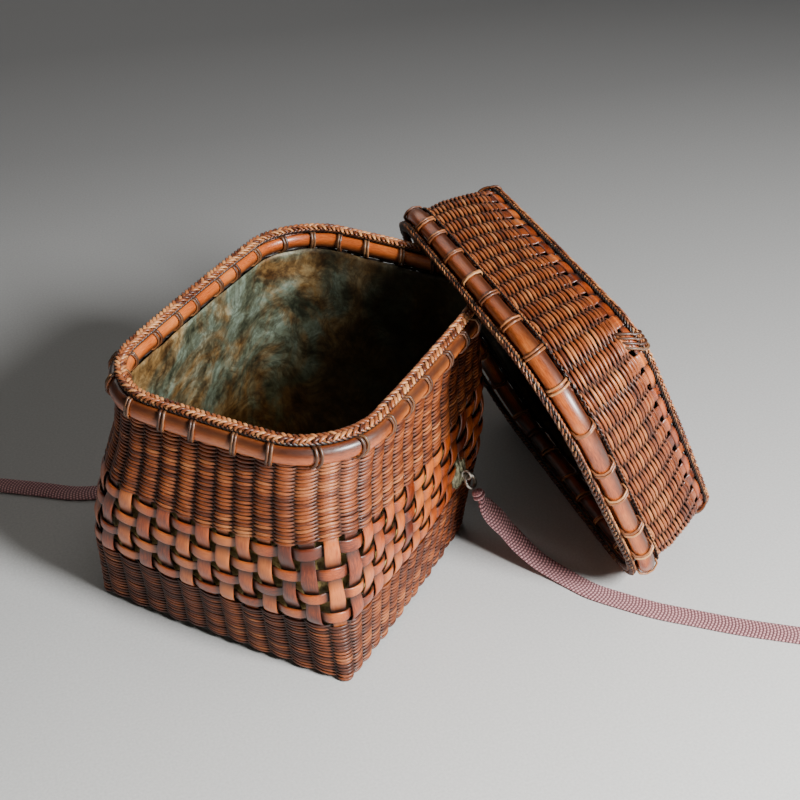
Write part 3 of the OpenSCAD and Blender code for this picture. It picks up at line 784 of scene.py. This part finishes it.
def make_stage():
    """A round floor that curves up into a backdrop all round, pale in front and darker toward the back by painted
    shade, one soft key light and weak fills.
    """
    flat, bend, around = 1.7, 0.9, 96
    profile = [(0.02, 0.0), (0.6, 0.0), (flat, 0.0)]
    profile += [(flat + bend * math.sin(a), bend - bend * math.cos(a)) for a in np.linspace(0.1, math.pi / 2, 14)]
    profile += [(flat + bend, 2.2)]
    turn = [2 * math.pi * i / around for i in range(around)]
    points = [(r * math.cos(a), r * math.sin(a), z) for r, z in profile for a in turn]
    index = np.arange(len(points)).reshape(-1, around)
    faces = [tuple(int(i) for i in quad) for quad in grid_quads(index)] + [tuple(range(around))[::-1]]
    mesh = bpy.data.meshes.new("floor")
    mesh.from_pydata(points, [], faces)
    mesh.flip_normals()
    mesh.shade_smooth()
    floor = bpy.data.objects.new("floor", mesh)
    floor.rotation_euler = (0, 0, math.radians(44))
    bpy.context.scene.collection.objects.link(floor)
    material, tree, shader = new_material("pale_floor")
    grain = noise(tree, object_coordinates(tree), 900.0, 3)
    away = tree.nodes.new("ShaderNodeSeparateXYZ")
    tree.links.new(object_coordinates(tree), away.inputs[0])
    # Painted shade: the floor's colour goes from pale grey in front to dark grey toward the back, standing in for
    # the light falling off.
    shade = ramp(tree, math_node(tree, "ADD", away.outputs[1], 0.35), (0.0, (0.82, 0.82, 0.78)),
                 (0.35, (0.52, 0.52, 0.51)),
                 (0.8, (0.24, 0.24, 0.24)), (1.0, (0.17, 0.17, 0.17)))
    speckle = ramp(tree, grain, (0.3, (0.86, 0.86, 0.86)), (0.7, (1, 1, 1)))
    tree.links.new(mix(tree, 1.0, shade, speckle, "MULTIPLY"), shader.inputs["Base Color"])
    shader.inputs["Roughness"].default_value = 0.85
    mesh.materials.append(material)
    world = bpy.data.worlds.new("studio")
    world.use_nodes = True
    world.node_tree.nodes["Background"].inputs[0].default_value = (1.0, 0.96, 0.9, 1)
    world.node_tree.nodes["Background"].inputs[1].default_value = 0.024
    bpy.context.scene.world = world
    area_light("key", (0.72, -0.17, 0.57), (0.1, -0.04, 0.03), 0.24, 20.5)
    area_light("top", (0.25, 0.0, 1.3), (0.05, 0.0, 0.0), 0.5, 1.8, (1.0, 0.97, 0.92))
    area_light("fill", (-0.5, -1.1, 0.8), (0.0, 0.0, 0.05), 1.0, 0.15, (1.0, 0.95, 0.88))
    area_light("rear", (-0.85, 0.75, 0.7), (0.0, 0.05, 0.05), 0.9, 2.2, (1.0, 0.97, 0.92))


make_camera()
make_stage()


# ---------------------------------------------------------------- ribbons
def ribbon(name, route, ring_body, outward, *nodes):
    """A flat braid gathered at both ends, with rows of stitches across it that alternate like bricks."""
    line = spline(route, 0.3)
    run = unit(np.gradient(line, axis=0))
    across = unit(np.cross(np.array([0, 0, 1.0]), run))
    normal = unit(np.cross(run, across))
    s = np.concatenate([[0], np.cumsum(np.linalg.norm(np.diff(line, axis=0), axis=1))])
    total = s[-1]
    gather = np.clip(np.minimum(s, total - s) / GATHER, 0, 1)
    width = RIBBON_W / 2 * (0.22 + 0.78 * np.sin(gather * np.pi / 2) ** 0.8)
    roll = math.radians(24) * outward * np.exp(-((s - 12) / 22) ** 2)
    side = across * np.cos(roll)[:, None] + normal * np.sin(roll)[:, None]
    face = normal * np.cos(roll)[:, None] - across * np.sin(roll)[:, None]
    v = np.linspace(-1, 1, 35)
    row = (s[:, None] + 1.1 * abs(v[None]) ** 1.5) / RIBBON_ROW
    ribs = 0.5 + 0.5 * np.cos(2 * np.pi * row)
    columns = 0.5 + 0.5 * np.cos(2 * np.pi * v[None] * 3.25 + np.pi * (np.floor(row + 0.5) % 2))
    relief = ribs**0.8 * (0.35 + 0.65 * columns)
    edge = 1 - abs(v) ** 6
    thick = RIBBON_T / 2 * (1 + 0.9 * (1 - gather))[:, None] * (0.45 + 0.55 * edge)[None]
    top = thick - RIBBON_RELIEF + RIBBON_RELIEF * relief
    centre = line[:, None] + side[:, None] * (width[:, None] * v[None])[..., None]
    upper = centre + face[:, None] * top[..., None]
    under = centre - face[:, None] * top[..., None]
    loop = np.concatenate([upper, under[:, ::-1]], 1)
    high = np.concatenate([relief, relief[:, ::-1]], 1)
    loop[..., 2] = np.maximum(loop[..., 2], 0.05)
    k = loop.shape[1]
    index = np.arange(loop.shape[0] * k).reshape(-1, k)
    piece = make_mesh(name, loop, grid_quads(index), materials["ribbon"], None,
                      np.zeros((loop.shape[0] * k, 3)), high, [index[0, ::-1], index[-1]])
    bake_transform(piece)
    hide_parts(*nodes)
    path = [tuple(p / 1000) for p in spline(route, 2.0)]
    return piece, path, total / 1000


def knot_mesh(name, centre, axis, size, wraps, body, *nodes):
    """A small tied knot: a flat strand wound on itself."""
    axis = unit(np.asarray(axis, float))
    one = unit(np.cross(axis, [0.3, 0.9, 0.2]))
    two = np.cross(axis, one)
    t = np.linspace(0, 1, 150)
    turn = 2 * np.pi * wraps * t
    swing = size * (0.62 + 0.12 * np.cos(turn * 0.5))
    climb = size * 1.1 * (t - 0.5) + size * 0.35 * np.sin(turn * 0.5 + 0.7)
    centres = (np.asarray(centre, float) + one * (swing * np.cos(turn))[:, None]
               + two * (swing * np.sin(turn))[:, None] + axis * climb[:, None])[None]
    run = tangents(centres)
    side = unit(np.cross(run, axis))
    normal = unit(np.cross(side, run))
    ribs = 0.5 + 0.5 * np.cos(2 * np.pi * travelled(centres) / 0.9)
    piece = strands_piece(name, centres, side, normal, ellipse(size * 0.42, size * 0.3, 10), False,
                          materials["ribbon"], body, 0.5, 0.7 + 0.4 * ribs)
    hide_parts(*nodes)
    return piece


def end_knot(name, route, *nodes):
    """The knot in a ribbon's free end."""
    tip, before = np.array(route[-1], float), np.array(route[-2], float)
    direction = unit(tip - before)
    centre = tip + direction * 1.9
    centre[2] = 2.7
    return knot_mesh(name, centre, direction, 2.35, 3.0, "basket", *nodes)


right_end = end_knot("end_knot_right_piece", RIGHT_ROUTE, "end_knot_right")
left_end = end_knot("end_knot_left_piece", LEFT_ROUTE, "end_knot_left")
right, right_path, right_length = ribbon("ribbon_right_piece", RIGHT_ROUTE, "ring_right", 1, "ribbon_right")
left, left_path, left_length = ribbon("ribbon_left_piece", LEFT_ROUTE, "ring_left", -1, "ribbon_left")


# ---------------------------------------------------------------- ring fittings
def knot_at_ring(name, node, body):
    low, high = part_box(node)
    centre = np.array((low + high) / 2) * 1000
    return knot_mesh(name, centre, (0.35 if centre[0] > 0 else -0.35, 0.1, -1), 2.5, 2.5, body, node)


def plaque(name, node, side):
    """A cast oval plate: upright flutes round a boss, inside a rim with a lobed edge."""
    low, high = (np.array(v) * 1000 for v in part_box(node))
    middle, half = (low + high) / 2, (high - low) / 2
    around, rings = 144, 34
    a = 2 * np.pi * np.arange(around) / around
    r = np.linspace(0.12, 1, rings)
    across = r[:, None] * np.cos(a)[None]
    flutes = abs(np.cos(np.pi * 2.5 * across)) ** 0.8 * np.clip((0.86 - r) * 8, 0, 1)[:, None]
    rim = (np.exp(-((r - 0.9) / 0.05) ** 2) * 0.5 + np.exp(-((r - 0.24) / 0.1) ** 2) * 0.75)[:, None]
    dome = (1 - 0.75 * r**2)[:, None]
    height = (dome * 0.4 + flutes * 0.45 + rim * 0.4) * 2 * half[0] / 1.15
    height = height * np.clip((1 - r) * 14, 0, 1)[:, None]
    edge = (1 - 0.04 * (1 - abs(np.cos(a * 6))))[None]
    y = middle[1] + half[1] * r[:, None] * np.cos(a)[None] * edge
    z = middle[2] + half[2] * r[:, None] * np.sin(a)[None] * edge
    back = low[0] if side > 0 else high[0]
    front = np.stack([back + side * (0.15 + height), y, z], -1)
    behind = np.stack([np.full_like(y[-1:], back), y[-1:], z[-1:]], -1)
    skin = np.concatenate([front, behind])
    index = np.arange(skin.shape[0] * around).reshape(-1, around)
    quads = grid_quads(index)[:, ::-1 if side > 0 else 1]
    caps = [index[0], index[-1][::-1]] if side > 0 else [index[0][::-1], index[-1]]
    piece = make_mesh(name, skin, quads, materials["bronze"], "basket", caps=caps)
    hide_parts(node)


plaque("plaque_right_piece", "plaque_right", 1)
plaque("plaque_left_piece", "plaque_left", -1)
knot_at_ring("knot_right_piece", "knot_right", "ring_right")
knot_at_ring("knot_left_piece", "knot_left", "ring_left")
for kept in ("eye_right", "eye_left", "ring_right", "ring_left"):
    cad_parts[kept].data.materials.clear()
    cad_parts[kept].data.materials.append(materials["wire"])

# ---------------------------------------------------------------- the basket
# Painted shade: the lower rows' tone is lowered by 0.22 and the upper rows' by 0.1; the lid's rows keep theirs.
fine_weave("lower_weave_rows", body_wall, 3.4, LOWER_TOP, 0.22, "basket", "lower_weave")
fine_weave("upper_weave_rows", body_wall, PLAIT_TOP, HOOP_Z + 0.5, 0.1, "basket", "upper_weave")
flat_rows("plait_rows", body_wall, [36.5, 46.5, 56.5, 66.5], 5.1, 0.9, -0.75, "basket", "plaited_band")
flat_stakes("plait_stakes", body_wall, 27, 76, 36.5, 10, 6.1, 0.9, -0.75, "basket", "body_stakes")
lining("lining_sheet", body_wall, 5.2, HOOP_Z + 0.2, LINING_OUT, "basket", 0.6, True, "liner")
mat("base_mat", body_wall, 1.9, -3.5, 1, 9, 8, 0.32, "basket", True, "base_panel")
hoop("outer_hoop", body_wall, round_section(0.1, HOOP_T + 0.1, HOOP_Z, HOOP_Z + HOOP_H), "basket",
     "rim_outer_hoop")
hoop("inner_hoop", body_wall, round_section(-2.1, -4.6, HOOP_Z + 1, HOOP_Z + HOOP_H)[::-1], "basket",
     "rim_inner_hoop")
braid("rim_plait", body_wall, RIM_MID_OUT, BRAID_Z - 0.5, 1.7, 0.6, 5, 9.5, 0.6, "basket", "rim_braid")
stitches("rim_plait_stitches", body_wall, RIM_MID_OUT, BRAID_Z - 0.1, 2.3, 1.3, 2.3, STITCH, "basket",
         "rim_braid")
lashings("rim_lashing_strands", body_wall,
         [(0.2, HOOP_Z - 0.7), (2.6, HOOP_Z - 0.4), (4.2, HOOP_Z + 2.2), (4.2, HOOP_Z + 5.2),
          (2.6, HOOP_Z + 7.8), (-1.0, HOOP_Z + 7.6), (-3.6, HOOP_Z + 7.9), (-5.2, HOOP_Z + 5.6),
          (-5.2, HOOP_Z + 3), (-3.6, HOOP_Z + 0.6), (-2.3, HOOP_Z + 0.2)],
         30, 0.0017, 0.0045, 0.6, "basket", "rim_lashings")


def corner_feet():
    """A short wrapped stub under each corner, where the corner stakes end."""
    low, high = (np.array(v) * 1000 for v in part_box("corner_feet"))
    radius = 4.5
    lines = []
    for sx in (low[0] + radius, high[0] - radius):
        for sy in (low[1] + radius, high[1] - radius):
            t = np.linspace(0, 1, 150)
            turn = 2 * np.pi * 3 * t
            lines.append(np.stack([sx + 3.7 * np.cos(turn), sy + 3.7 * np.sin(turn), 0.72 + 1.4 * t], 1))
    centres = np.array(lines)
    run = tangents(centres)
    up = np.broadcast_to(np.array([0, 0, 1.0]), centres.shape)
    side = unit(np.cross(up, run))
    piece = strands_piece("corner_feet_wraps", centres, side, up, ellipse(0.75, 0.68, 8), False,
                          materials["lashing"], "basket", rng.uniform(0, 1, (4, 1)))
    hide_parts("corner_feet")


corner_feet()

# ---------------------------------------------------------------- the lid
fine_weave("lid_weave_rows", lid_wall, 10.6, SHOULDER_Z, 0.0, "lid", "lid_wall_weave")
flat_rows("lid_shoulder_row", lid_wall, [40.6], 3.2, 0.4, -0.5, "lid", "lid_shoulder_strips")
flat_stakes("lid_shoulder_stakes", lid_wall, 33, 43.4, 40.3, 2.9, 6.2, 0.35, -0.45, "lid", "lid_stakes")
lining("lid_lining_sheet", lid_wall, LID_H - 4.5, 12.5, LINING_OUT, "lid", 0.6, False, "lid_liner")
mat("lid_top_mat", lid_wall, LID_H - 1.6, -2.6, 1.5, 8.2, 7.3, 0.5, "lid", False, "lid_top_panel")
hoop("lid_outer_hoop_cane", lid_wall, round_section(0.1, HOOP_T + 0.1, LID_HOOP_Z, LID_HOOP_Z + HOOP_H),
     "lid", "lid_outer_hoop")
hoop("lid_inner_hoop_cane", lid_wall, round_section(-3.1, -4.7, 2.6, 8.2)[::-1], "lid", "lid_inner_hoop")
braid("lid_mouth_plait", lid_wall, RIM_MID_OUT, 0.9, 1.8, 0.6, 5, 9.5, 0.6, "lid", "lid_mouth_braid")
stitches("lid_mouth_stitches", lid_wall, RIM_MID_OUT, 0.6, 2.3, -1.2, 2.6, STITCH, "lid",
         "lid_mouth_braid")
braid("lid_border_plait", lid_wall, BORDER_OUT, LID_H + 0.4, 1.5, 0.7, 5, 9.0, 0.6, "lid",
      "lid_top_border")
stitches("lid_border_stitches", lid_wall, BORDER_OUT, LID_H + 0.7, 2.1, 1.2, 2.3, 0.6, "lid", "lid_top_border")
braid("lid_edge_twist", lid_wall, 0.7, LID_HOOP_Z + HOOP_H + 1.6, 0.35, 0.35, 2, 5.0, 0.45, "lid",
      "lid_edge_strand")
lashings("lid_lashing_strands", lid_wall,
         [(0.2, LID_HOOP_Z + HOOP_H + 0.6), (2.6, LID_HOOP_Z + HOOP_H + 0.3), (4.0, LID_HOOP_Z + 5.2),
          (4.0, LID_HOOP_Z + 2.2), (2.6, LID_HOOP_Z - 0.4), (-1.2, LID_HOOP_Z - 0.6),
          (-3.6, 2.2), (-5.3, 4.0), (-5.3, 6.6), (-4.0, 8.7), (-2.3, 9.6)],
         30, 0.0015, 0.0045, 0.58, "lid", "lid_lashings")


def corner_ties():
    """Four strands bound over the border at each corner of the lid's top."""
    corners = np.array([0, STAKES_Y / STAKES, 0.5, 0.5 + STAKES_Y / STAKES])
    t = np.arange(60) / 60
    turn = 2 * np.pi * t
    u = (corners[:, None] + np.array([-0.006, -0.002, 0.002, 0.006])[None]).reshape(-1, 1)
    u = u + 0.006 * np.sin(turn + 0.6)[None]
    out = BORDER_OUT + 3.1 * np.cos(turn)
    z = LID_H - 1.7 + 4.6 * np.sin(turn)
    centres, along, _, _ = lid_wall.at(u, np.broadcast_to(z, u.shape), np.broadcast_to(out, u.shape))
    run = tangents(centres, True)
    side = unit(np.cross(run, along))
    piece = strands_piece("lid_corner_bindings", centres, unit(np.cross(side, run)), side,
                          ellipse(0.6, 0.55, 8), True, materials["lashing"], "lid",
                          rng.uniform(0, 1, (16, 1)))
    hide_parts("lid_corner_ties")


corner_ties()
